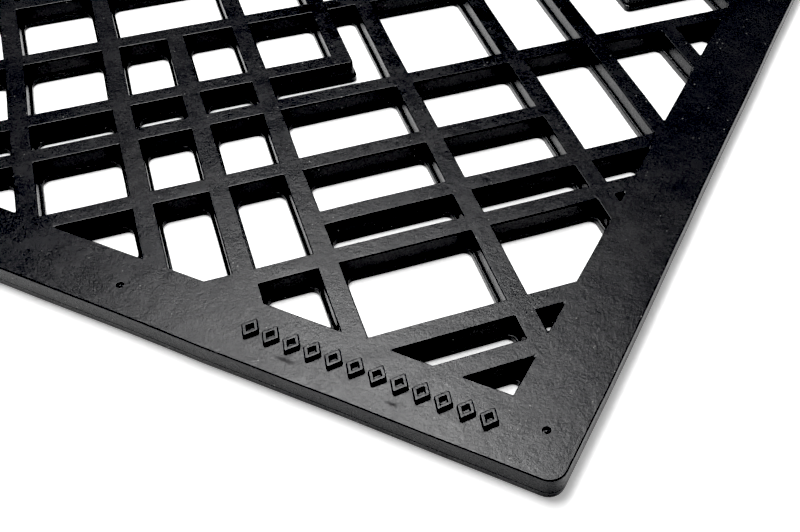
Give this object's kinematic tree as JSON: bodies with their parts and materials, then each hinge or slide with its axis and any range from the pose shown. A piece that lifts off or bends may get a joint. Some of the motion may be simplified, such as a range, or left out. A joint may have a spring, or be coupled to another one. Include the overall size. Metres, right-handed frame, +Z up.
{
  "type": "door mat",
  "caption": "Flat moulded rubber door mat: a rectangular frame filled with an open lattice of crossing diagonal bars on flanged feet.",
  "frame": {"origin": "centre of the mat's outline on the floor, at the underside", "axes": "+X along the long side to the right, +Y along the short side away from the front rail, +Z up"},
  "size_m": [0.75, 0.45, 0.0115],
  "materials": {
    "rubber": "matte moulded, fine grain"
  },
  "bodies": {
    "root": {"falling_bar_01": "rubber", "falling_bar_02": "rubber", "falling_bar_03": "rubber", "falling_bar_04": "rubber", "falling_bar_05": "rubber", "falling_bar_06": "rubber", "falling_bar_07": "rubber", "falling_bar_08": "rubber", "falling_bar_09": "rubber", "falling_bar_10": "rubber", "falling_bar_11": "rubber", "falling_bar_12": "rubber", "falling_bar_13": "rubber", "falling_bar_14": "rubber", "falling_bar_15": "rubber", "falling_bar_16": "rubber", "falling_bar_17": "rubber", "falling_bar_18": "rubber", "falling_bar_19": "rubber", "falling_bar_20": "rubber", "falling_bar_21": "rubber", "falling_bar_22": "rubber", "falling_bar_23": "rubber", "front_rail": "rubber", "left_rail": "rubber", "lozenge_row": "rubber", "rear_rail": "rubber", "right_rail": "rubber", "rising_bar_01": "rubber", "rising_bar_02": "rubber", "rising_bar_03": "rubber", "rising_bar_04": "rubber", "rising_bar_05": "rubber", "rising_bar_06": "rubber", "rising_bar_07": "rubber", "rising_bar_08": "rubber", "rising_bar_09": "rubber", "rising_bar_10": "rubber", "rising_bar_11": "rubber", "rising_bar_12": "rubber", "rising_bar_13": "rubber", "rising_bar_14": "rubber", "rising_bar_15": "rubber", "rising_bar_16": "rubber", "rising_bar_17": "rubber", "rising_bar_18": "rubber", "rising_bar_19": "rubber", "rising_bar_20": "rubber", "rising_bar_21": "rubber", "rising_bar_22": "rubber", "rising_bar_23": "rubber", "rising_bar_24": "rubber"}
  },
  "joints": []
}
